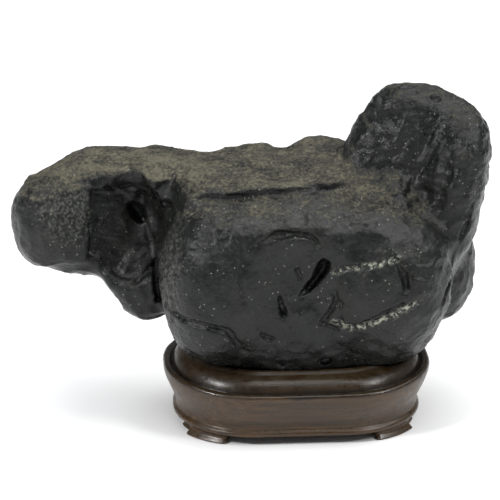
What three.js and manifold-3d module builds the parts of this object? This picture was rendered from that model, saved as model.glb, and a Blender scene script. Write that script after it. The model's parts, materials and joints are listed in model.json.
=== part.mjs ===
// A scholar's rock on its carved hardwood stand. Millimetres, +Z up, X along the rock, -Y its show side.
// The rock is one water-worn stone. The stand is one block of wood with a seat cut to the rock's own underside,
// so the rock only rests in it and lifts straight out.

import * as THREE from "three";
import { mergeVertices } from "three/addons/utils/BufferGeometryUtils.js";
import Module from "manifold-3d";

const wasm = await Module();
wasm.setup();

// ---- The stand: driving dimensions ----
const STAND_LENGTH = 137;
const STAND_DEPTH = 98;
const STAND_CENTRE_Y = 7; // the seat lies a little behind the middle of the rock's show face
const CORNER_POWER = 3; // 2 is an ellipse, larger is squarer
const STAND_SEGMENTS = 72;

const FOOT_HEIGHT = 5;
const FOOT_HALF_WIDTH = 10;
const FOOT_FADE = 3; // how far the foot's scrolled sides take to rise to the apron
const FOOT_FLARE = 2.6;
const FOOT_ACROSS = 45; // half the distance between the feet, along X
const END_RISE = 1.8; // how much higher the mouldings run at the two ends than in front

const UNDERSIDE = 7.5;
const SHOULDER = 29;
const RIM = 36;

// ---- The rock: driving dimensions ----
const FACET = 5.6; // the size of the rock's facets
const ROCK_LOW = [-152, -52, 18];
const ROCK_HIGH = [104, 74, 182];
const SEAT_TOP = 46;
const SEAT_GAP = 0.45;
const GRAIN = 0.9; // how far the rock's surface wanders in and out
const TOUCH = 0.01; // how deep a corner lies that has just been taken in

// The rock's form, in the order that it is built up: a mass is joined on, a hollow is scooped out. Each is a ball
// drawn out to three half sizes and turned about its middle, in degrees. squareness 2 is an ellipsoid, 4 is nearly
// a rounded block. blend is how far it runs softly into what is already there.
const FORM = [
  // the arm
  { mass: "arm", at: [-92, 38, 99], half: [35, 22, 31], squareness: 3.2 },
  { mass: "arm's back", at: [-87, 47, 112], half: [31, 15, 18.5], squareness: 3.6, blend: 4 },
  { mass: "nose", at: [-120, 34, 98], half: [24, 24, 25], squareness: 2.4, blend: 6 },
  { mass: "neck", at: [-60, 34, 97], half: [30, 24, 34], squareness: 3 },
  { mass: "tooth", at: [-80, 24, 69], half: [16, 17, 24], turn: [0, -30, 0], squareness: 2.6, blend: 5 },
  { hollow: "arm's shadow", at: [-84, 12, 98], half: [18, 18, 25], squareness: 2.6, blend: 3 },
  // the body
  { mass: "core", at: [3, 4, 76], half: [66, 40, 52], squareness: 2.6 },
  { mass: "left bulge", at: [-41, -8, 78], half: [27, 37, 39], squareness: 2.3 },
  { mass: "right bulge", at: [42, -10, 81], half: [33, 35, 35], squareness: 2.5 },
  { mass: "right heel", at: [43, 0, 63], half: [25, 32, 28], squareness: 2.8 },
  { mass: "front shelf", at: [0, -6, 104], half: [58, 31, 17], turn: [9, 0, 0], squareness: 3.6 },
  { hollow: "broken middle", at: [-4, -54, 84], half: [17, 19, 26], squareness: 2.2, blend: 5 },
  { mass: "terrace", at: [-2, 18, 113], half: [58, 37, 18], squareness: 5, blend: 2 },
  { mass: "left hump", at: [-21, 42, 112], half: [22, 16, 21], blend: 5 },
  { mass: "right hump", at: [16, 42, 114], half: [20, 18, 23], blend: 5 },
  // the peak
  { mass: "back wall", at: [57, 20, 125], half: [34, 19, 45], turn: [0, 12, 0], squareness: 2.7 },
  { mass: "right shoulder", at: [77, 6, 117], half: [16, 25, 45], turn: [0, 10, 0], squareness: 2.3 },
  { hollow: "scoop", at: [36, -17, 156], half: [22, 22, 36], turn: [0, 14, 0], squareness: 2.3, blend: 8 },
  { mass: "rear lobe", at: [71, 26, 72], half: [23, 26, 30], blend: 4 },
];

// ---- Solids ----
function toSolid(geometry) {
  const bare = new THREE.BufferGeometry().setIndex(geometry.index);
  bare.setAttribute("position", geometry.getAttribute("position"));
  const merged = mergeVertices(bare, 1e-4);
  return new wasm.Manifold(
    new wasm.Mesh({
      numProp: 3,
      vertProperties: merged.attributes.position.array,
      triVerts: new Uint32Array(merged.index.array),
    }),
  );
}

function toGeometry(solid) {
  const mesh = solid.getMesh();
  const geometry = new THREE.BufferGeometry();
  geometry.setAttribute("position", new THREE.BufferAttribute(mesh.vertProperties, 3));
  geometry.setIndex(new THREE.BufferAttribute(mesh.triVerts, 1));
  geometry.computeVertexNormals();
  return geometry;
}

function indexedGeometry(positions, index) {
  const geometry = new THREE.BufferGeometry();
  geometry.setAttribute("position", new THREE.Float32BufferAttribute(positions, 3));
  geometry.setIndex(index);
  return geometry;
}

// ---- The rock ----
// Slow waves that make the surface uneven; the same point always gives the same value.
function wander({ x, y, z }) {
  const long = Math.sin(x * 0.11 + 1.3) + Math.sin(y * 0.13 + z * 0.05) + Math.sin(z * 0.12 - x * 0.04);
  const short = Math.sin(x * 0.29 + z * 0.21) * Math.sin(y * 0.31 - z * 0.17);
  return long / 3 + short * 0.8;
}

// Each part of the form with its turn worked out once.
const PARTS = FORM.map(({ turn = [0, 0, 0], squareness = 2.3, blend = 8, ...part }) => {
  const angles = turn.map(THREE.MathUtils.degToRad);
  const unturn = new THREE.Quaternion().setFromEuler(new THREE.Euler(...angles)).invert();
  return { ...part, at: new THREE.Vector3(...part.at), unturn, squareness, blend };
});

// How far a point is outside one drawn-out ball, less than nothing inside it.
function outside({ at, half, unturn, squareness }, point) {
  const p = point.clone().sub(at).applyQuaternion(unturn).toArray();
  const share = p.map((v, axis) => Math.abs(v) / half[axis]);
  const size = Math.max(share.reduce((sum, v) => sum + v ** squareness, 0) ** (1 / squareness), 1e-6);
  const slope = share.map((v, axis) => (v / size) ** (squareness - 1) / half[axis]);
  return (size - 1) / Math.hypot(...slope);
}

// The lesser of two distances, rounded off where they are within blend of each other.
function softLesser(a, b, blend) {
  const overlap = Math.max(blend - Math.abs(a - b), 0);
  return Math.min(a, b) - (overlap * overlap) / (4 * blend);
}

// How far a point is outside the rock.
function outsideRock(point) {
  let distance = 1000;
  for (const part of PARTS) {
    const own = outside(part, point);
    distance = part.mass ? softLesser(distance, own, part.blend) : -softLesser(-distance, own, part.blend);
  }
  return distance - GRAIN * wander(point);
}

// A closed skin round everywhere that the distance is below nothing: one point in each cell of a grid that the
// surface passes through, and one four-sided facet across each grid edge that it cuts.
function skin(distance, low, high) {
  const count = low.map((v, axis) => Math.ceil((high[axis] - v) / FACET) + 1);
  const stride = [1, count[0], count[0] * count[1]];
  const corner = (n) => {
    const steps = [n % count[0], Math.floor(n / stride[1]) % count[1], Math.floor(n / stride[2])];
    return new THREE.Vector3(...steps.map((s, axis) => low[axis] + s * FACET));
  };
  const total = stride[2] * count[2];
  const values = Float64Array.from({ length: total }, (_, n) => distance(corner(n)));
  unpinch(values, stride);
  const inside = (n) => values[n] < 0;
  const positions = [];
  const pointOf = new Map();

  // The middle of where the surface cuts the cell's edges, then drawn on to the surface itself.
  const cellPoint = (cell) => {
    if (!pointOf.has(cell)) {
      const sum = new THREE.Vector3();
      let cuts = 0;
      for (const [axis, across, along] of [[0, 1, 2], [1, 2, 0], [2, 0, 1]]) {
        for (const step of [0, stride[across], stride[along], stride[across] + stride[along]]) {
          const [from, to] = [cell + step, cell + step + stride[axis]];
          if (inside(from) === inside(to)) continue;
          sum.add(corner(from).lerp(corner(to), values[from] / (values[from] - values[to])));
          cuts++;
        }
      }
      const point = drawnOn(distance, sum.divideScalar(cuts));
      pointOf.set(cell, positions.length / 3);
      positions.push(...point.toArray());
    }
    return pointOf.get(cell);
  };

  const index = [];
  for (let n = 0; n < total; n++) {
    for (const [axis, across, along] of [[0, 1, 2], [1, 2, 0], [2, 0, 1]]) {
      const to = n + stride[axis];
      if (to >= total || inside(n) === inside(to)) continue;
      const cells = [n, n - stride[across], n - stride[across] - stride[along], n - stride[along]];
      const [a, b, c, d] = (inside(n) ? cells : cells.reverse()).map(cellPoint);
      index.push(a, b, c, a, c, d);
    }
  }
  return toSolid(indexedGeometry(positions, index));
}

// Where the corners of a grid square are in and out by turns, two facets would meet in one edge. The outer corner
// that is nearer the surface is taken in, until there is no such square.
function unpinch(values, stride) {
  const inside = (n) => values[n] < 0;
  const squares = [[stride[0], stride[1]], [stride[1], stride[2]], [stride[2], stride[0]]];
  let changed = true;
  while (changed) {
    changed = false;
    for (let n = 0; n + stride[1] + stride[2] < values.length; n++) {
      for (const [across, along] of squares) {
        const [a, b, c, d] = [n, n + across, n + across + along, n + along];
        if (inside(a) !== inside(c) || inside(b) !== inside(d) || inside(a) === inside(b)) continue;
        const outer = inside(a) ? [b, d] : [a, c];
        values[values[outer[0]] < values[outer[1]] ? outer[0] : outer[1]] = -TOUCH;
        changed = true;
      }
    }
  }
}

// A point moved down the slope of the distance until it lies on the surface.
function drawnOn(distance, point) {
  const reach = 0.05;
  for (let round = 0; round < 2; round++) {
    const here = distance(point);
    const slope = new THREE.Vector3(
      distance(point.clone().setX(point.x + reach)) - here,
      distance(point.clone().setY(point.y + reach)) - here,
      distance(point.clone().setZ(point.z + reach)) - here,
    ).divideScalar(reach);
    const move = THREE.MathUtils.clamp(here / Math.max(slope.lengthSq(), 0.25), -FACET / 3, FACET / 3);
    point.addScaledVector(slope, -move);
  }
  return point;
}

const rock = skin(outsideRock, ROCK_LOW, ROCK_HIGH);

// ---- The stand ----
// A point of the stand's plan, inset from its outermost line. angle runs round from +X.
function planPoint(angle, inset) {
  const c = Math.cos(angle);
  const s = Math.sin(angle);
  const reach = (Math.abs(c) ** CORNER_POWER + Math.abs(s) ** CORNER_POWER) ** (-1 / CORNER_POWER);
  return [reach * c * (STAND_LENGTH / 2 - inset), reach * s * (STAND_DEPTH / 2 - inset)];
}

// 1 on a foot, 0 between the feet, with an S-curve from one to the other.
function footShare(x) {
  const away = Math.abs(Math.abs(x) - FOOT_ACROSS);
  return 1 - THREE.MathUtils.smoothstep(away, FOOT_HALF_WIDTH - FOOT_FADE, FOOT_HALF_WIDTH);
}

// The section of the stand, from the middle of its underside out, up and in to the middle of its top:
// inset from the outline, height between the feet, height on a foot, how much of the foot's flare it takes,
// and how much of the rise towards the ends.
const SECTION = [
  { inset: 26, apron: UNDERSIDE, foot: UNDERSIDE, flare: 0, rise: 0 },
  { inset: 20, apron: UNDERSIDE, foot: UNDERSIDE, flare: 0, rise: 0 },
  { inset: 17, apron: UNDERSIDE, foot: 0, flare: 0, rise: 0 },
  { inset: 11, apron: FOOT_HEIGHT, foot: 0, flare: 0, rise: 0 },
  { inset: 7, apron: FOOT_HEIGHT, foot: 0, flare: 1, rise: 0 },
  { inset: 5.4, apron: FOOT_HEIGHT + 0.8, foot: 1.2, flare: 1, rise: 0 },
  { inset: 5.4, apron: FOOT_HEIGHT + 2.6, foot: 4.4, flare: 0.8, rise: 0 },
  { inset: 7, apron: FOOT_HEIGHT + 3.8, foot: 8, flare: 0.3, rise: 0 },
  { inset: 5, apron: 13, foot: 13, flare: 0, rise: 0.3 },
  { inset: 2, apron: 20, foot: 20, flare: 0, rise: 0.7 },
  { inset: 0.2, apron: 26, foot: 26, flare: 0, rise: 1 },
  { inset: 0.8, apron: 28.4, foot: 28.4, flare: 0, rise: 1 },
  { inset: 2.6, apron: SHOULDER, foot: SHOULDER, flare: 0, rise: 1 },
  { inset: 4.6, apron: SHOULDER - 1.4, foot: SHOULDER - 1.4, flare: 0, rise: 1 },
  { inset: 5.8, apron: SHOULDER + 0.6, foot: SHOULDER + 0.6, flare: 0, rise: 1 },
  { inset: 8.4, apron: RIM - 2.4, foot: RIM - 2.4, flare: 0, rise: 1 },
  { inset: 12, apron: RIM - 0.4, foot: RIM - 0.4, flare: 0, rise: 1 },
  { inset: 15, apron: RIM, foot: RIM, flare: 0, rise: 1 },
  { inset: 18, apron: RIM - 0.5, foot: RIM - 0.5, flare: 0, rise: 1 },
];

function sectionPoint(level, angle) {
  const [x] = planPoint(angle, level.inset);
  const foot = footShare(x);
  const [px, py] = planPoint(angle, level.inset - FOOT_FLARE * level.flare * foot);
  const rise = END_RISE * level.rise * (x / (STAND_LENGTH / 2)) ** 2;
  return [px, py + STAND_CENTRE_Y, THREE.MathUtils.lerp(level.apron, level.foot, foot) + rise];
}

// The stand before its seat is cut: one ring of points for each level of the section, closed by a fan at each end.
function standBlock() {
  const positions = [];
  const index = [];
  for (const level of SECTION) {
    for (let k = 0; k < STAND_SEGMENTS; k++) {
      positions.push(...sectionPoint(level, (2 * Math.PI * k) / STAND_SEGMENTS));
    }
  }
  const bottom = positions.length / 3;
  positions.push(0, STAND_CENTRE_Y, SECTION[0].apron);
  positions.push(0, STAND_CENTRE_Y, SECTION.at(-1).apron);
  for (let k = 0; k < STAND_SEGMENTS; k++) {
    const next = (k + 1) % STAND_SEGMENTS;
    index.push(bottom, next, k);
    for (let r = 0; r + 1 < SECTION.length; r++) {
      const low = r * STAND_SEGMENTS;
      const high = low + STAND_SEGMENTS;
      index.push(low + k, low + next, high + next, low + k, high + next, high + k);
    }
    const last = (SECTION.length - 1) * STAND_SEGMENTS;
    index.push(bottom + 1, last + k, last + next);
  }
  return toSolid(indexedGeometry(positions, index));
}

// The seat is the rock's own underside with a gap all round.
const underside = skin(
  (point) => Math.max(outsideRock(point) - SEAT_GAP, point.z - SEAT_TOP),
  ROCK_LOW,
  [...ROCK_HIGH.slice(0, 2), SEAT_TOP + FACET],
);
const stand = standBlock().subtract(underside);

// ---- The object ----
function piece(name, solid, colour, roughness) {
  const material = new THREE.MeshStandardMaterial({ color: colour, roughness, metalness: 0 });
  const mesh = new THREE.Mesh(toGeometry(solid), material);
  mesh.name = name;
  return mesh;
}

const group = new THREE.Group();
group.add(piece("rock", rock, 0x2b2d2c, 0.45));
group.add(piece("stand", stand, 0x4a3122, 0.35));

// The origin is the middle of the whole object's box, on the surface it stands on.
const box = new THREE.Box3().setFromObject(group);
const middle = box.getCenter(new THREE.Vector3());
group.position.set(-middle.x, -middle.y, -box.min.z);

export default group;
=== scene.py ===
import json
import math

import bpy
import numpy as np
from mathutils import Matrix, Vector

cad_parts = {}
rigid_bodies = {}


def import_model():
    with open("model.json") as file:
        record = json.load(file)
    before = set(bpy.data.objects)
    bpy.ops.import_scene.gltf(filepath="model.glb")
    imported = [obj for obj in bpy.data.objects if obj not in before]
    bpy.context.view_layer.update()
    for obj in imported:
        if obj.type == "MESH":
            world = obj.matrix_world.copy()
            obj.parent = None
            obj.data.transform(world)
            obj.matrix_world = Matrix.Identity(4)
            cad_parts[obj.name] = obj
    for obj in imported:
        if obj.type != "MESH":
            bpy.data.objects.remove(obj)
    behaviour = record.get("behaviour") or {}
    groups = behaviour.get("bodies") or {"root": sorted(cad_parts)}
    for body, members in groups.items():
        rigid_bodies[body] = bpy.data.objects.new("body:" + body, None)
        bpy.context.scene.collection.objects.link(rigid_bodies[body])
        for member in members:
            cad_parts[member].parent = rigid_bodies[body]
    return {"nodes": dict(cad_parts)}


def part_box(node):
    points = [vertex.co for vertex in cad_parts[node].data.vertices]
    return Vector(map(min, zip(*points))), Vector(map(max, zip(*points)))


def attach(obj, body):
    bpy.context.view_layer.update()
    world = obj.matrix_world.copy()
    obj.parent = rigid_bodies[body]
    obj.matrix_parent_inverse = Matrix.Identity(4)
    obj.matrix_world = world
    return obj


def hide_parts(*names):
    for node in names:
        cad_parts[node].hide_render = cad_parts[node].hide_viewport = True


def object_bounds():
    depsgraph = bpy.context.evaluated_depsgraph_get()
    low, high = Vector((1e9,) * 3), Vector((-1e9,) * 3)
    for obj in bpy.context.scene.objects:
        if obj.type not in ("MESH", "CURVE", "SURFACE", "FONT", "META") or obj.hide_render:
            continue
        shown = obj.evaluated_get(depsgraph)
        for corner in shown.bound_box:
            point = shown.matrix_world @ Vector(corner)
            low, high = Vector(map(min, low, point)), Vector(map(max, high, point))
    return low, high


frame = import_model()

CAD_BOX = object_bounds()
MM = 0.001

# Places are given as (along, back, up) in millimetres from HOME, a point on the floor under the rock.
STAND_LOW, STAND_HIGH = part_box("stand")
STAND_SIZE = STAND_HIGH - STAND_LOW
SEAT_BACK = 7.0
HOME = Vector(((STAND_LOW.x + STAND_HIGH.x) / 2, (STAND_LOW.y + STAND_HIGH.y) / 2 - SEAT_BACK * MM, 0.0))


def at(along, back, up):
    return HOME + Vector((along, back, up)) * MM


# ---------------------------------------------------------------- working by hand


def only(piece):
    """Selects one piece and nothing else."""
    bpy.ops.object.select_all(action="DESELECT")
    piece.select_set(True)
    bpy.context.view_layer.objects.active = piece


def editing(piece, kind="VERT"):
    """Goes into edit mode, to work on points, edges or faces."""
    only(piece)
    bpy.context.tool_settings.mesh_select_mode = [kind == each for each in ("VERT", "EDGE", "FACE")]
    bpy.ops.object.mode_set(mode="EDIT")


def finished():
    bpy.ops.object.mode_set(mode="OBJECT")


def choose_none(piece):
    for part in (piece.data.vertices, piece.data.edges, piece.data.polygons):
        part.foreach_set("select", np.zeros(len(part), bool))


def added(name):
    """Names the piece that was just made."""
    piece = bpy.context.view_layer.objects.active
    piece.name = name
    piece.data.name = name
    return piece


def settled(piece):
    """The piece's place goes into its mesh, so that its object sits at the origin."""
    only(piece)
    bpy.ops.object.transform_apply(location=True, rotation=True, scale=True)


def places(piece):
    """Every vertex's place, in millimetres from home, and its normal."""
    count = len(piece.data.vertices)
    place = np.empty(count * 3, np.float32)
    normal = np.empty(count * 3, np.float32)
    piece.data.vertices.foreach_get("co", place)
    piece.data.vertices.foreach_get("normal", normal)
    return (place.reshape(-1, 3) - np.array(HOME, np.float32)) / MM, normal.reshape(-1, 3)


def modified(piece, kind, **settings):
    """Adds one modifier with these settings and applies it."""
    only(piece)
    bpy.ops.object.modifier_add(type=kind)
    modifier = piece.modifiers[-1]
    for name, value in settings.items():
        setattr(modifier, name, value)
    bpy.ops.object.modifier_apply(modifier=modifier.name)


def merged_copy(node, name):
    """A copy of a CAD node's mesh with its loose triangles joined up."""
    only(frame["nodes"][node])
    bpy.ops.object.duplicate()
    piece = added(name)
    bpy.ops.object.parent_clear(type="CLEAR_KEEP_TRANSFORM")
    for key in [key for key in piece.keys() if key.startswith("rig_")]:
        del piece[key]
    editing(piece)
    bpy.ops.mesh.select_all(action="SELECT")
    bpy.ops.mesh.remove_doubles(threshold=0.01 * MM)
    finished()
    return piece


def joined(pieces, name):
    """All the pieces as one mesh, in the first of them."""
    only(pieces[0])
    for piece in pieces:
        piece.select_set(True)
    if len(pieces) > 1:
        bpy.ops.object.join()
    return added(name)


def removed(piece):
    only(piece)
    bpy.ops.object.delete()


def met_on(piece, along, up):
    """Where a line from the show side first meets the piece, if it does."""
    hit, spot, _, _ = piece.ray_cast(at(along, 0, up) - FRONT * WELL_OUTSIDE * MM, FRONT)
    return spot if hit else None


# ---------------------------------------------------------------- the rock

FRONT = Vector((0.0875, 1, -0.365)).normalized()  # into the show side, along the way it is looked at
WELL_OUTSIDE = 400
BALL_RINGS = 24
WEIGHT_STEPS = 16
# How finely the surface is rebuilt at each stage, in millimetres.
FORM_GRID = 1.7
ARM_GRID = 1.5
RIB_GRID = 1.1
CUT_GRID = 0.7
SKIN_GRID = 1.04


def push(piece, where, move, reach):
    """Draws the surface out or in round one place, softly over its reach."""
    place, _ = places(piece)
    nearest = int(np.argmin(((place - np.array(where)) ** 2).sum(1)))
    choice = np.zeros(len(place), bool)
    choice[nearest] = True
    choose_none(piece)
    piece.data.vertices.foreach_set("select", choice)
    editing(piece)
    bpy.ops.transform.translate(
        value=Vector(move) * MM,
        use_proportional_edit=True,
        proportional_edit_falloff="SMOOTH",
        proportional_size=reach * MM,
    )
    finished()


def ball(name, where, half, turn):
    """A drawn-out ball: half sizes in millimetres, turned in degrees."""
    bpy.ops.mesh.primitive_uv_sphere_add(
        segments=2 * BALL_RINGS,
        ring_count=BALL_RINGS,
        radius=MM,
        location=at(*where),
        rotation=[math.radians(v) for v in turn],
        scale=half,
    )
    piece = added(name)
    settled(piece)
    return piece


def chip(name, where, half, turn, soften=0.25):
    """A block with its corners taken off, for flat breaks and ledges."""
    bpy.ops.mesh.primitive_cube_add(
        size=2 * MM, location=at(*where), rotation=[math.radians(v) for v in turn], scale=half
    )
    piece = added(name)
    settled(piece)
    modified(piece, "BEVEL", width=min(half) * soften * MM, segments=2)
    return piece


def channel(name, stone, path, sink=0.3, steps=1, deepen=1.5):
    """Round rods laid along a path on the show side, narrower the deeper they lie. Each point of the path
    is its place along and up, and the rod's radius."""
    rods = []
    for step in range(steps):
        bpy.ops.curve.primitive_bezier_curve_add()
        rod = added(f"{name}_{step}")
        rod.matrix_world.identity()
        rod.data.dimensions = "3D"
        rod.data.splines.clear()
        spline = rod.data.splines.new("POLY")
        spots = []
        for along, up, radius in path:
            spot = met_on(stone, along, up)
            if spot is not None:
                spots.append((spot + FRONT * (radius * sink + deepen * step) * MM, radius))
        spline.points.add(len(spots) - 1)
        for point, (spot, radius) in zip(spline.points, spots):
            point.co = (*spot, 1.0)
            point.radius = radius * (1 - 0.8 * step / steps)
        rod.data.bevel_depth = MM
        rod.data.bevel_resolution = 2
        rod.data.use_fill_caps = True
        only(rod)
        bpy.ops.object.convert(target="MESH")
        rods.append(added(f"{name}_{step}"))
    return joined(rods, name)


def noise(name, kind, size, **settings):
    """A pattern for roughening a surface."""
    texture = bpy.data.textures.new(name, kind)
    texture.noise_scale = size
    for key, value in settings.items():
        setattr(texture, key, value)
    return texture


def roughened(piece, texture, strength, middle=0.5, group="", stretch=None):
    """Moves the surface in and out by a pattern. Stretch is its size along each axis, and its turn."""
    settings = {
        "texture": texture,
        "strength": strength * MM,
        "mid_level": middle,
        "vertex_group": group,
    }
    if stretch:
        bpy.ops.object.empty_add(location=HOME)
        grain = bpy.context.view_layer.objects.active
        size, turn = stretch
        grain.scale = [v * MM for v in size]
        grain.rotation_euler = [math.radians(v) for v in turn]
        bpy.context.view_layer.update()
        settings["texture_coords"] = "OBJECT"
        settings["texture_coords_object"] = grain
    else:
        settings["texture_coords"] = "LOCAL"
    modified(piece, "DISPLACE", **settings)
    if stretch:
        removed(grain)


def weighted(piece, name, weights):
    """A vertex group from one weight for each vertex, in even steps."""
    group = piece.vertex_groups.new(name=name)
    shares = np.round(np.clip(weights, 0, 1) * WEIGHT_STEPS).astype(int)
    for share in range(1, WEIGHT_STEPS + 1):
        chosen = np.nonzero(shares == share)[0]
        if len(chosen):
            group.add(chosen.tolist(), share / WEIGHT_STEPS, "REPLACE")


def near(place, where, half):
    """1 in the middle of a region, falling to 0 at its half sizes."""
    share = ((place - np.array(where)) / np.array(half)) ** 2
    return np.clip(1.4 - 1.4 * share.sum(1), 0, 1)


def broken_share(place):
    """How rough and flaky the stone is at each place."""
    arm_end = near(place, (-113, 12, 108), (20, 14, 20))
    neck = near(place, (-66, -18, 90), (12, 24, 40))
    return np.clip(arm_end + neck + 0.5 * near(place, (10, -34, 122), (70, 16, 12)), 0, 1)


def remeshed(piece, size):
    """Rebuilds the surface as one even skin over everything in the piece."""
    modified(piece, "REMESH", mode="VOXEL", voxel_size=size * MM)


def rough_form():
    """The rock's masses, smoothed until the CAD's facets are gone."""
    stone = merged_copy("rock", "stone")
    remeshed(stone, FORM_GRID)
    modified(stone, "SMOOTH", factor=0.6, iterations=9)
    return stone


def tooth(name, where, radius, length, turn):
    """A rough point of stone hanging down, flat-sided."""
    bpy.ops.mesh.primitive_cone_add(
        vertices=6,
        radius1=radius * MM,
        radius2=radius * 0.15 * MM,
        depth=length * MM,
        location=at(*where),
        rotation=[math.radians(v) for v in (180 + turn[0], turn[1], turn[2])],
    )
    piece = added(name)
    settled(piece)
    modified(piece, "BEVEL", width=0.5 * MM, segments=1)
    return piece


def spot_on(stone, along, up, inward):
    """The place on the surface met from the show side, this far further in, in millimetres from home."""
    return (met_on(stone, along, up) - HOME) / MM + FRONT * inward


def ribs(stone):
    """Lips, ribs and hanging points left standing by the water, laid half into the surface."""
    return [
        channel(
            "peak_lobe",
            stone,
            [(83, 152, 1.5), (80, 138, 3.6), (76, 122, 3.4), (72, 108, 1.2)],
            sink=0.6,
        ),
        channel(
            "peak_rim",
            stone,
            [(27, 154, 0.9), (22, 144, 1.5), (17, 135, 1.5), (8, 127, 0.9)],
            sink=0.1,
        ),
        channel(
            "right_layer",
            stone,
            [(84, 167, 1.2), (90, 162, 1.9), (94, 154, 1.9), (96, 146, 1.2)],
            sink=0.2,
        ),
        channel(
            "plate_edge",
            stone,
            [(43, 97, 0.8), (51, 92, 1.3), (55, 82, 1.3), (54, 67, 0.8)],
            sink=0.3,
        ),
        channel(
            "left_ridge",
            stone,
            [(-76, 112, 1.0), (-72, 100, 2.2), (-67, 88, 2.2), (-66, 70, 1.8), (-62, 55, 1.0)],
            sink=0.4,
        ),
        chip("arm_slab_low", spot_on(stone, -80, 84, 3), (9, 6, 9), (-38, 24, -12)),
        tooth("tooth_left", spot_on(stone, -84, 125, 5), 7.5, 17, (14, 18, 10)),
        tooth("tooth_right", spot_on(stone, -71, 125, 5), 7.5, 17, (12, -14, 40)),
    ]


def hollows(stone):
    """Everything worn or broken out of the rock's surface."""
    return [
        # the middle of the front
        channel(
            "slanted_hole",
            stone,
            [(13.5, 85, 2.4), (11.6, 79, 3.1), (7.7, 73.3, 2.4), (3, 68, 1.5), (-2, 63, 0.9)],
            steps=4,
            deepen=2.4,
        ),
        channel(
            "slit",
            stone,
            [(-9.2, 68.7, 0.9), (-8.2, 63, 1.5), (-6.8, 58.4, 1.9), (-6.3, 54, 1.0)],
            steps=3,
        ),
        channel(
            "brow_crease",
            stone,
            [(-21, 93, 1.0), (-11, 98, 2.0), (-1.4, 98.6, 2.2), (6, 97, 1.9), (11, 91, 1.2)],
            sink=0.1,
            steps=2,
        ),
        channel(
            "hole_tail",
            stone,
            [(17, 73, 1.0), (18.6, 63.6, 1.7), (15, 57, 1.5), (10, 50, 1.0)],
            steps=2,
        ),
        channel("short_slit", stone, [(21.5, 63, 1.2), (21, 52, 1.5)], steps=2),
        channel("fissure", stone, [(-1.8, 83.5, 1.1), (2, 74.6, 1.5)], steps=2),
        channel("low_crack", stone, [(-19, 49, 1.0), (-15, 45, 1.6), (-10, 43, 1.1)], steps=2),
        # low on the left, and round the plate on the right
        channel(
            "ledge",
            stone,
            [(-64, 62, 1.2), (-54, 55, 2.2), (-43, 52, 2.0), (-33, 49, 2.2), (-27, 39, 1.6), (-22, 36, 1.0)],
            sink=0,
        ),
        channel("leaf", stone, [(47.4, 83.5, 1.0), (51.4, 75, 2.2), (53.4, 65.5, 1.1)], steps=2),
        channel(
            "plate_top",
            stone,
            [(15, 78, 1.3), (24, 80.6, 1.7), (33, 81.2, 1.5), (46, 85.6, 1.2)],
            sink=0.1,
        ),
        channel(
            "plate_low",
            stone,
            [(13, 53, 1.4), (20, 49.4, 1.9), (30, 50, 1.7), (42, 56, 1.8), (55, 63, 1.3)],
            sink=0.1,
        ),
        channel(
            "bulge_line",
            stone,
            [(-27.5, 97, 1.2), (-26, 86, 2.0), (-27, 74, 1.9), (-25.5, 62, 1.2)],
            sink=-0.2,
        ),
        # under the edges of the flat top
        channel(
            "under_lip",
            stone,
            [(-52, 117, 0.8), (-44, 118.4, 2.0), (-34, 117.4, 2.9), (-19, 119.2, 2.4)],
            sink=-0.1,
        ),
        channel(
            "under_lip_right",
            stone,
            [(-21, 119.6, 2.2), (-6, 119.6, 2.8), (8, 122, 2.2), (19, 122.6, 2.6), (30, 125, 1.0)],
            sink=-0.1,
        ),
        channel(
            "top_layer",
            stone,
            [(-44, 128, 1.0), (-30, 130, 1.8), (-12, 129, 1.6), (0, 131, 0.8)],
            sink=-0.2,
        ),
        # the arm and the gap beside it
        channel(
            "tooth_gap",
            stone,
            [(-72.7, 88, 1.5), (-71.7, 76, 2.2), (-70.2, 63.6, 2.0), (-68.7, 52.3, 1.2)],
            steps=3,
            deepen=2.5,
        ),
        channel("arm_crack", stone, [(-94.6, 63, 0.8), (-83, 74.4, 1.3), (-74.3, 84, 1.6)], steps=2),
        channel(
            "arm_triangle",
            stone,
            [(-86.5, 118, 1.8), (-81.9, 113.5, 3.8), (-78.8, 107, 2.4)],
            steps=3,
            deepen=2.5,
        ),
        channel("arm_pocket", stone, [(-97.5, 126.5, 1.8), (-93, 125, 2.6)], steps=2, deepen=2.5),
        channel("arm_gap", stone, [(-69.7, 117, 2.0), (-63, 116, 2.4)], steps=3, deepen=2.5),
        channel("arm_fissure", stone, [(-124.5, 127, 0.8), (-123.5, 122, 1.2), (-122, 117, 0.8)]),
        # where the rock meets its seat
        channel("pocket_left", stone, [(-8.7, 32, 2.2), (-5.8, 30, 2.2)], steps=2, deepen=2.5),
        channel("pocket_right", stone, [(11.6, 31, 2.6), (16.4, 32, 2.2)], steps=2, deepen=2.5),
        # the peak, and the lobe behind it
        channel("peak_bowl", stone, [(65, 168, 2.2), (70, 168.5, 2.6)], sink=0.2),
        channel("peak_hole_a", stone, [(67, 146, 1.4), (68.6, 144.5, 1.2)], steps=2),
        channel("peak_hole_b", stone, [(69, 120, 1.5), (71, 118, 1.3)], steps=2),
        channel("peak_hole_c", stone, [(50.5, 113.5, 1.6), (52.5, 112, 1.4)], steps=2),
        channel("peak_hole_d", stone, [(60.5, 106.6, 1.6), (63, 105.5, 1.4)], steps=2),
        channel("rear_hole", stone, [(75.7, 74.5, 1.3), (77.7, 73, 1.3)], steps=2),
        channel(
            "rear_groove",
            stone,
            [(86, 114, 1.2), (82, 98, 1.8), (76, 82, 1.9), (71, 61, 1.7), (66, 46, 1.2)],
            steps=2,
        ),
    ]


def add_ribs(stone):
    joined([stone] + ribs(stone), "stone")
    remeshed(stone, RIB_GRID)
    modified(stone, "SMOOTH", factor=0.5, iterations=2)


def carve(stone):
    cutter = joined(hollows(stone), "cutter")
    remeshed(cutter, CUT_GRID)
    modified(stone, "BOOLEAN", operation="DIFFERENCE", object=cutter, solver="EXACT")
    removed(cutter)


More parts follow.
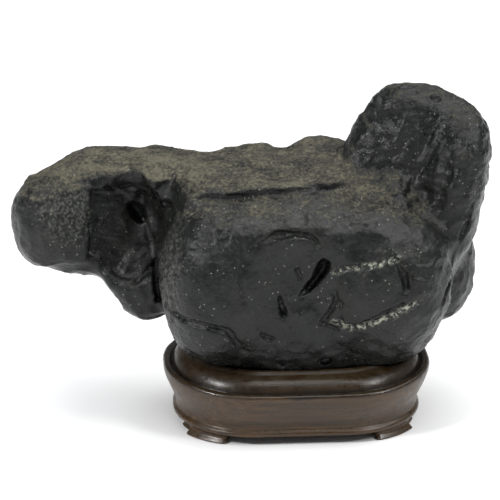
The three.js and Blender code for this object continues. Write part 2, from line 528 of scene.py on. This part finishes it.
def break_arm(stone):
    """The arm's shadowed face stands a little behind one sharp upright edge."""
    joined([stone, ball("arm_face", spot_on(stone, -89, 99, 1), (16, 8, 22), (-8, 6, 12))], "stone")
    remeshed(stone, ARM_GRID)
    block = chip("arm_step", spot_on(stone, -90, 106, -10), (14.5, 12, 17), (-14, 5, 9), 0.1)
    modified(stone, "BOOLEAN", operation="DIFFERENCE", object=block, solver="EXACT")
    removed(block)


def make_rock():
    stone = rough_form()
    push(stone, where=(27, 12, 162), move=(3, 0, -4), reach=16)
    break_arm(stone)
    add_ribs(stone)
    carve(stone)
    remeshed(stone, SKIN_GRID)
    roughen(stone)
    only(stone)
    bpy.ops.object.shade_smooth()
    return stone


def roughen(stone):
    """Craggy lumps and ridges, layers near the top, flutes on the peak's face, flakes and a fine grain."""
    place, _ = places(stone)
    bulge = near(place, (-36, -40, 78), (38, 34, 36))
    plate = near(place, (32, -42, 72), (30, 24, 26))
    weighted(stone, "craggy", 1 - 0.85 * bulge - 0.6 * plate)
    weighted(stone, "layered", np.clip((place[:, 2] - 100) / 14, 0, 1))
    weighted(stone, "flaky", broken_share(place))
    weighted(stone, "fluted", near(place, (52, -12, 140), (38, 30, 34)))
    roughened(stone, noise("lumps", "CLOUDS", 15 * MM, noise_depth=1), 2.2, group="craggy")
    ridges = noise("ridges", "MUSGRAVE", 9 * MM, musgrave_type="RIDGED_MULTIFRACTAL")
    roughened(stone, ridges, 0.55, middle=1.0, group="craggy")
    layers = noise("layers", "CLOUDS", 1.0, noise_depth=2)
    roughened(stone, layers, 1.3, group="layered", stretch=((24, 24, 2.4), (4, -5, 0)))
    flutes = noise("flutes", "CLOUDS", 1.0, noise_depth=1)
    roughened(stone, flutes, 4.5, group="fluted", stretch=((6, 16, 30), (0, 27, 0)))
    roughened(stone, noise("flakes", "VORONOI", 3.4 * MM), 1.5, middle=0.4, group="flaky")
    roughened(stone, noise("grain", "CLOUDS", 3 * MM, noise_depth=3), 0.55)


# ---------------------------------------------------------------- the stand

CORNER = 41.0
CORNER_STEPS = 40
CUTS_ALONG = 30
CUTS_BACK = 9
# The moulding from the apron's lower edge to the top: how far in from the widest outline, and how high.
MOULDING = [
    (5.2, 5.6), (4.9, 6.4), (5.2, 7.4), (6.6, 8.2), (6.9, 9.0), (6.2, 11.0), (4.4, 15.0),
    (2.6, 19.0), (1.2, 22.5), (0.4, 25.4), (0.2, 27.2), (0.5, 28.3), (1.3, 29.0), (2.6, 29.2),
    (3.9, 28.7), (4.7, 27.6), (5.1, 27.5), (5.4, 28.3), (5.9, 29.9), (7.0, 31.8), (8.6, 33.4),
    (10.4, 34.5), (12.0, 34.9), (12.9, 35.2), (13.6, 36.2), (14.4, 36.9), (15.4, 37.0),
    (16.4, 36.4), (18.5, 35.6),
]
# The same for the underside, from the apron's lower edge inward.
UNDERSIDE = [(9.0, 5.0), (16.0, 5.0), (17.2, 5.6), (19.0, 7.0), (24.0, 7.5)]
FOOT_ACROSS = 45.0
FOOT_WIDTH = 20.0
# Each step of a foot down from the apron: how far down, how far out, and its width against the one above.
FOOT_STEPS = [(0.7, 0.0, 0.90), (1.1, 0.4, 0.94), (1.3, 1.1, 1.04), (1.2, 1.0, 1.08), (0.7, -0.5, 0.97)]
END_RISE = 1.8
RISE_BANDS = 14
RISE_START = 0.2
RISE_ABOVE = 9.5
SEAT_GRID = 1.4
SEAT_GAP = 0.45


def choose_faces(piece, test):
    """Selects the faces for which test(middle, normal) holds, with places in millimetres from home."""
    choose_none(piece)
    for face in piece.data.polygons:
        face.select = bool(test((face.center - HOME) / MM, face.normal))


def choose_edges(piece, axis, least):
    """Selects the edges that run further than this along one axis, in millimetres."""
    choose_none(piece)
    for edge in piece.data.edges:
        one, other = (piece.data.vertices[i].co for i in edge.vertices)
        edge.select = abs(one[axis] - other[axis]) > least * MM


def level(outline, inset, low, high):
    """The chosen cap is drawn up or down to the next line of the moulding and made that much smaller."""
    bpy.ops.mesh.extrude_region_move(TRANSFORM_OT_translate={"value": (0, 0, (high - low) * MM)})
    ratio = [(side / 2 - inset) / (side / 2 - outline) for side in (STAND_SIZE.x / MM, STAND_SIZE.y / MM)]
    bpy.ops.transform.resize(value=(ratio[0], ratio[1], 1), center_override=at(0, SEAT_BACK, high))


def stand_block():
    """A block with rounded corners, drawn up and down through every line of its mouldings."""
    first_inset, first_up = MOULDING[0]
    low = UNDERSIDE[0][1]
    size = [STAND_SIZE.x - 2 * first_inset * MM, STAND_SIZE.y - 2 * first_inset * MM, (first_up - low) * MM]
    bpy.ops.mesh.primitive_cube_add(size=1, location=at(0, SEAT_BACK, (first_up + low) / 2), scale=size)
    stand = added("carved_stand")
    settled(stand)
    choose_edges(stand, 2, 0.1)
    editing(stand, "EDGE")
    bpy.ops.mesh.bevel(offset=CORNER * MM, segments=CORNER_STEPS, profile=0.5, affect="EDGES")
    finished()
    for axis, cuts in ((0, CUTS_ALONG), (1, CUTS_BACK)):
        choose_edges(stand, axis, 8)
        editing(stand, "EDGE")
        bpy.ops.mesh.subdivide(number_cuts=cuts)
        finished()
    choose_faces(stand, lambda middle, normal: normal.z > 0.9)
    editing(stand, "FACE")
    for (outline, from_up), (inset, to_up) in zip(MOULDING, MOULDING[1:]):
        level(outline, inset, from_up, to_up)
    finished()
    choose_faces(stand, lambda middle, normal: normal.z < -0.9 and middle.z < first_up)
    editing(stand, "FACE")
    for (outline, from_up), (inset, to_up) in zip([(first_inset, low)] + UNDERSIDE, UNDERSIDE):
        level(outline, inset, from_up, to_up)
    finished()
    return stand


def raise_ends(stand):
    """The mouldings sweep gently up towards the two ends."""
    for band in range(RISE_BANDS):
        share = RISE_START + (1 - RISE_START) * band / RISE_BANDS
        place, _ = places(stand)
        high = (np.abs(place[:, 0]) > share * STAND_SIZE.x / MM / 2) & (place[:, 2] > RISE_ABOVE)
        choose_none(stand)
        stand.data.vertices.foreach_set("select", high)
        editing(stand)
        bpy.ops.transform.translate(value=(0, 0, 2 * share * END_RISE / RISE_BANDS * MM))
        finished()


def carve_feet(stand):
    """Four scrolled feet drawn down out of the apron and out at the toe."""
    for across in (-1, 1):
        for depth in (-1, 1):
            def on_foot(middle, normal):
                near_foot = abs(middle.x * across - FOOT_ACROSS) < FOOT_WIDTH / 2
                return near_foot and normal.z < -0.9 and middle.z < 5.2 and (middle.y - SEAT_BACK) * depth > 0

            choose_faces(stand, on_foot)
            editing(stand, "FACE")
            for down, out, width in FOOT_STEPS:
                bpy.ops.mesh.extrude_region_move(TRANSFORM_OT_translate={"value": (0, 0, -down * MM)})
                bpy.ops.transform.resize(value=(width, 0.97 * width, 1))
                toe = Vector((across * 0.8, depth, 0)).normalized() * out * MM
                bpy.ops.transform.translate(value=toe)
            finished()


def make_stand(rock):
    """The stand, with a seat sunk into it to the rock's own shape."""
    stand = stand_block()
    carve_feet(stand)
    raise_ends(stand)
    modified(stand, "SUBSURF", levels=1, render_levels=1)
    only(rock)
    bpy.ops.object.duplicate()
    seat = added("seat")
    remeshed(seat, SEAT_GRID)
    modified(seat, "DISPLACE", strength=SEAT_GAP * MM, mid_level=0.0, direction="NORMAL")
    modified(stand, "BOOLEAN", operation="DIFFERENCE", object=seat, solver="EXACT")
    removed(seat)
    only(stand)
    bpy.ops.object.shade_smooth_by_angle(angle=math.radians(40))
    return stand


rock = make_rock()
stand = make_stand(rock)

# ---------------------------------------------------------------- finishes


class Finish:
    """One material's nodes, wired by short calls. Patterns are sized in millimetres."""

    def __init__(self, name):
        self.material = bpy.data.materials.new(name)
        self.material.use_nodes = True
        self.tree = self.material.node_tree
        self.shader = self.tree.nodes["Principled BSDF"]
        spot = self.add("ShaderNodeTexCoord")
        self.place = self.add("ShaderNodeMapping")
        self.place.inputs["Scale"].default_value = (1 / MM,) * 3
        self.link(spot.outputs["Object"], self.place.inputs["Vector"])

    def add(self, kind, **settings):
        node = self.tree.nodes.new(kind)
        for name, value in settings.items():
            setattr(node, name, value)
        return node

    def link(self, output, socket):
        self.tree.links.new(output, socket)

    def put(self, node, socket, value):
        if hasattr(value, "is_output") or hasattr(value, "links"):
            self.link(value, node.inputs[socket])
        else:
            node.inputs[socket].default_value = value

    def stretched(self, size, turn=(0, 0, 0)):
        """The place in units of this size along each axis, in millimetres."""
        node = self.add("ShaderNodeMapping")
        self.link(self.place.outputs[0], node.inputs["Vector"])
        node.inputs["Scale"].default_value = [1 / v for v in size]
        node.inputs["Rotation"].default_value = [math.radians(v) for v in turn]
        return node.outputs[0]

    def cloud(self, size, detail=3, roughness=0.5, where=None, warp=0.0):
        node = self.add("ShaderNodeTexNoise")
        self.link(where or self.stretched((size,) * 3), node.inputs["Vector"])
        node.inputs["Scale"].default_value = 1
        node.inputs["Detail"].default_value = detail
        node.inputs["Roughness"].default_value = roughness
        node.inputs["Distortion"].default_value = warp
        return node.outputs[0]

    def cells(self, size):
        """How far it is to the nearest of many scattered points."""
        node = self.add("ShaderNodeTexVoronoi")
        self.link(self.stretched((size,) * 3), node.inputs["Vector"])
        node.inputs["Scale"].default_value = 1
        return node.outputs["Distance"]

    def spread(self, value, low, high, to_low=0.0, to_high=1.0):
        node = self.add("ShaderNodeMapRange", interpolation_type="SMOOTHSTEP")
        for socket, number in zip(("From Min", "From Max", "To Min", "To Max"), (low, high, to_low, to_high)):
            node.inputs[socket].default_value = number
        self.link(value, node.inputs["Value"])
        return node.outputs["Result"]

    def sum(self, one, other, operation="ADD"):
        node = self.add("ShaderNodeMath", operation=operation)
        self.put(node, 0, one)
        self.put(node, 1, other)
        return node.outputs[0]

    def times(self, one, other):
        return self.sum(one, other, "MULTIPLY")

    def clamped(self, value):
        node = self.add("ShaderNodeClamp")
        self.link(value, node.inputs["Value"])
        return node.outputs[0]

    def blend(self, share, one, other):
        node = self.add("ShaderNodeMix", data_type="RGBA")
        self.link(share, node.inputs["Factor"])
        for socket, value in ((6, one), (7, other)):
            self.put(node, socket, (*value, 1) if isinstance(value, tuple) else value)
        return node.outputs[2]

    def painted(self, name):
        return self.add("ShaderNodeAttribute", attribute_name=name).outputs["Fac"]

    def facing_up(self):
        node = self.add("ShaderNodeSeparateXYZ")
        self.link(self.add("ShaderNodeNewGeometry").outputs["Normal"], node.inputs[0])
        return node.outputs["Z"]

    def height(self):
        node = self.add("ShaderNodeSeparateXYZ")
        self.link(self.place.outputs[0], node.inputs[0])
        return node.outputs["Z"]

    def relief(self, layers):
        """Bumps, each a pattern and its depth in millimetres."""
        before = None
        for pattern, depth in layers:
            node = self.add("ShaderNodeBump")
            node.inputs["Strength"].default_value = 1.0
            node.inputs["Distance"].default_value = depth * MM
            self.link(pattern, node.inputs["Height"])
            if before is not None:
                self.link(before, node.inputs["Normal"])
            before = node.outputs[0]
        self.link(before, self.shader.inputs["Normal"])


def stone_finish():
    f = Finish("worn_black_stone")
    broad = f.cloud(34, detail=2)
    patch = f.cloud(9, detail=4, roughness=0.6)
    fine = f.cloud(1.6, detail=4, roughness=0.65)
    grit = f.cloud(0.5, detail=2)
    strata = f.cloud(1, detail=3, roughness=0.6, where=f.stretched((26, 26, 1.6), (4, -5, 0)))

    stone = f.blend(f.spread(patch, 0.35, 0.7), (0.0045, 0.0050, 0.0047), (0.0115, 0.0127, 0.0118))
    stone = f.blend(f.times(f.spread(broad, 0.45, 0.7), 0.6), stone, (0.0150, 0.0163, 0.0146))
    broken = f.painted("broken")
    scuffed = f.times(f.sum(f.times(broken, 0.7), 0.05), f.spread(fine, 0.46, 0.62))
    stone = f.blend(f.clamped(scuffed), stone, (0.075, 0.077, 0.067))
    # Painted shade: the arm's recess and the cracks are darkened towards near-black.
    hollow_shade = f.painted("hollow_shade")
    stone = f.blend(f.times(hollow_shade, 0.75), stone, (0.007, 0.007, 0.0055))

    lie = f.sum(f.painted("dust"), f.times(f.sum(patch, -0.5), 1.5))
    lie = f.sum(lie, f.times(f.sum(fine, -0.5), 1.6))
    lie = f.sum(lie, f.times(f.sum(strata, -0.5), 0.5))
    dust = f.spread(lie, 0.24, 1.10)
    earth = f.blend(f.spread(strata, 0.3, 0.7), (0.034, 0.032, 0.022), (0.094, 0.087, 0.061))
    earth = f.blend(f.spread(fine, 0.40, 0.66), earth, (0.110, 0.099, 0.068))
    colour = f.blend(f.times(dust, 0.9), stone, earth)

    specks = f.spread(f.cells(2.6), 0.17, 0.09)
    specks = f.times(specks, f.spread(f.cloud(7, detail=2), 0.46, 0.6))
    colour = f.blend(f.times(specks, 0.75), colour, (0.24, 0.25, 0.22))
    vein = f.times(f.painted("vein"), f.spread(f.cloud(2.2, detail=4, roughness=0.7), 0.47, 0.6))
    colour = f.blend(vein, colour, (0.34, 0.35, 0.28))
    f.link(colour, f.shader.inputs["Base Color"])

    smooth = f.spread(patch, 0.3, 0.75, 0.22, 0.38)
    rough = f.sum(smooth, f.times(dust, 0.42))
    rough = f.sum(rough, f.times(broken, 0.16))
    f.link(f.clamped(rough), f.shader.inputs["Roughness"])
    f.shader.inputs["Specular IOR Level"].default_value = 0.24
    f.relief([(patch, 0.75), (fine, 0.36), (f.times(strata, dust), 0.5), (grit, 0.07)])
    return f.material


def wood_finish():
    f = Finish("dark_stained_hardwood")
    grain = f.cloud(1, detail=5, roughness=0.6, where=f.stretched((42, 2.4, 2.0), (0, 3, 4)), warp=0.6)
    pores = f.cloud(1, detail=2, roughness=0.5, where=f.stretched((9, 0.5, 0.5), (0, 2, 3)))
    broad = f.cloud(30, detail=2)
    wear = f.cloud(6, detail=4, roughness=0.65)
    shaded_top = f.blend(f.spread(grain, 0.3, 0.7), (0.009, 0.0046, 0.0016), (0.028, 0.0145, 0.0048))
    side = f.blend(f.spread(grain, 0.3, 0.7), (0.023, 0.0112, 0.0034), (0.068, 0.0340, 0.0100))
    # Painted shade: the collar above the groove is coloured darker, standing in for the rock's shade on it.
    wood = f.blend(f.spread(f.height(), 26.5, 29.5), side, shaded_top)
    wood = f.blend(f.times(f.spread(broad, 0.45, 0.7), 0.5), wood, (0.034, 0.021, 0.009))
    wood = f.blend(f.spread(pores, 0.60, 0.72), wood, (0.010, 0.006, 0.004))
    # Upward faces turn lighter and greyer: partly handling wear, partly a painted sheen of the overhead
    # light.
    wear_and_sheen = f.times(f.spread(f.facing_up(), 0.35, 0.95), f.spread(wear, 0.35, 0.65))
    wood = f.blend(f.times(wear_and_sheen, 0.35), wood, (0.050, 0.040, 0.024))
    # Painted shade: the groove under the collar is darkened almost to black.
    wood = f.blend(f.painted("groove_shade"), wood, (0.004, 0.003, 0.0022))
    f.link(wood, f.shader.inputs["Base Color"])
    f.link(f.spread(wear, 0.3, 0.7, 0.24, 0.42), f.shader.inputs["Roughness"])
    f.shader.inputs["Coat Weight"].default_value = 0.12
    f.shader.inputs["Specular IOR Level"].default_value = 0.4
    f.shader.inputs["Coat Roughness"].default_value = 0.22
    f.relief([(grain, 0.12), (pores, 0.08), (wear, 0.10)])
    return f.material


def floor_finish():
    f = Finish("pale_floor")
    f.shader.inputs["Base Color"].default_value = (0.86, 0.86, 0.86, 1)
    f.shader.inputs["Roughness"].default_value = 0.9
    return f.material


def painted_on(piece, name, amounts):
    layer = piece.data.attributes.new(name, "FLOAT", "POINT")
    layer.data.foreach_set("value", np.clip(amounts, 0, 1).astype(np.float32))


def along_path(place, path, width):
    """1 on a path of points seen from the front, falling to 0 at this distance from it."""
    flat = place[:, (0, 2)]
    least = np.full(len(flat), 1e9)
    for start, end in zip(path, path[1:]):
        start, end = np.array(start, float), np.array(end, float)
        run = end - start
        share = np.clip(((flat - start) @ run) / (run @ run), 0, 1)
        least = np.minimum(least, np.hypot(*(flat - start - share[:, None] * run).T))
    return np.clip(1 - least / width, 0, 1)


def paint_rock(rock):
    """Where dust lies, where the stone is broken, where shade is painted dark into the arm's recess and the
    cracks, and where its veins run.
    """
    place, normal = places(rock)
    up = np.clip((normal[:, 2] - 0.25) / 0.6, 0, 1)
    high = np.clip((place[:, 2] - 104) / 12, 0, 1)
    lying = up * (0.15 + 0.72 * high) * np.clip((place[:, 1] + 46) / 34, 0.35, 1)
    arm = near(place, (-85, 10, 135), (50, 40, 16))
    painted_on(rock, "dust", lying * (0.82 + 0.35 * arm) - 0.35 * near(place, (62, 0, 150), (46, 50, 34)))
    painted_on(rock, "broken", broken_share(place))
    front = normal[:, 1] < 0.1
    cracks = [
        [(-21, 108), (-11, 113), (-1, 113.6), (6, 112), (11, 106)],
        [(17, 88), (18.6, 78.6), (15, 72), (10, 65)],
        [(21.5, 78), (21, 67)],
        [(-2, 98), (2, 89)],
        [(-19, 64), (-15, 60), (-10, 58)],
        [(47.4, 98), (51.4, 90), (53.4, 80.5)],
    ]
    # The dark lines along the cracks are painted shade, and so is the darkening of the arm's recess below.
    dark = np.max([along_path(place, crack, 2.6) for crack in cracks], axis=0) * front
    painted_on(rock, "hollow_shade", near(place, (-84, 16, 100), (20, 18, 30)) * 0.8 + dark)
    rim = along_path(place, [(14.5, 66), (23, 63.5), (30, 65), (42, 71), (54, 78)], 2.4)
    cross = along_path(place, [(15, 92), (24, 95), (32, 96), (45, 100)], 1.9)
    painted_on(rock, "vein", (rim + cross) * front)


# Where shade is painted into the stand's groove.
GROOVE_UP = 28.0
GROOVE_SOFT = 0.9
GROOVE_HALF = (64.5, 45.0)
GROOVE_FAR = 1.08
GROOVE_DARK = 0.9
STAND_HALF = 68


def paint_stand(stand):
    """Shade painted dark along the groove between the collar and the shoulder."""
    place, normal = places(stand)
    above = place[:, 2] - END_RISE * (place[:, 0] / STAND_HALF) ** 2 - GROOVE_UP
    groove = np.exp(-((above / GROOVE_SOFT) ** 2))
    inner = (np.abs(normal[:, 2]) < 0.8) | (normal[:, 2] > 0)
    reach = np.hypot(place[:, 0] / GROOVE_HALF[0], (place[:, 1] - SEAT_BACK) / GROOVE_HALF[1])
    painted_on(stand, "groove_shade", groove * inner * (reach < GROOVE_FAR) * GROOVE_DARK)


def finish_with(piece, material):
    piece.data.materials.clear()
    piece.data.materials.append(material)


paint_rock(rock)
paint_stand(stand)
finish_with(rock, stone_finish())
finish_with(stand, wood_finish())
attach(rock, "root")
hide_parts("rock")
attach(stand, "root")
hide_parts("stand")

# ---------------------------------------------------------------- the studio


FLOOR_SIZE = 8
VIEW_TURN = -5
VIEW_RISE = 20
VIEW_FAR = 1.0
VIEW_UP = 85
AIM_LEFT = 24
AIM_UP = 4.9
LENS = 144
SENSOR = 36


def make_floor():
    bpy.ops.mesh.primitive_plane_add(size=FLOOR_SIZE, location=(0, 0, CAD_BOX[0][2]))
    floor = added("floor")
    finish_with(floor, floor_finish())


def make_camera():
    turn, rise = math.radians(VIEW_TURN), math.radians(VIEW_RISE)
    back = Vector((math.sin(turn) * math.cos(rise), -math.cos(turn) * math.cos(rise), math.sin(rise)))
    right = Vector((math.cos(turn), math.sin(turn), 0))
    upward = back.cross(right)
    eye = at(0, 0, VIEW_UP) + back * VIEW_FAR
    aim = at(0, 0, VIEW_UP) - right * AIM_LEFT * MM + upward * AIM_UP * MM
    bpy.ops.object.camera_add(location=eye, rotation=(eye - aim).to_track_quat("Z", "Y").to_euler())
    view = added("view")
    view.data.lens = LENS
    view.data.sensor_width = SENSOR
    bpy.context.scene.camera = view


def lamp(name, kind, place, aim, energy, **settings):
    place, aim = Vector(place), Vector(aim)
    turn = (place - aim).to_track_quat("Z", "Y").to_euler()
    bpy.ops.object.light_add(type=kind, location=place, rotation=turn)
    light = added(name)
    light.data.energy = energy
    for key, value in settings.items():
        setattr(light.data, key, value)


def make_light():
    lamp("sky", "SUN", (0.25, 0.1, 1.0), (0, 0, 0), 3.3, angle=1.2)
    lamp("left_box", "AREA", (-0.75, -0.45, 0.75), (0, 0, 0.08), 8, size=0.2)
    lamp("right_box", "AREA", (0.65, -0.5, 0.7), (0.05, 0, 0.1), 3.5, size=0.2)
    room = bpy.data.worlds.new("room")
    room.use_nodes = True
    room.node_tree.nodes["Background"].inputs[0].default_value = (0.20, 0.21, 0.22, 1)
    bpy.context.scene.world = room
    bpy.context.scene.view_settings.view_transform = "Standard"


make_floor()
make_camera()
make_light()
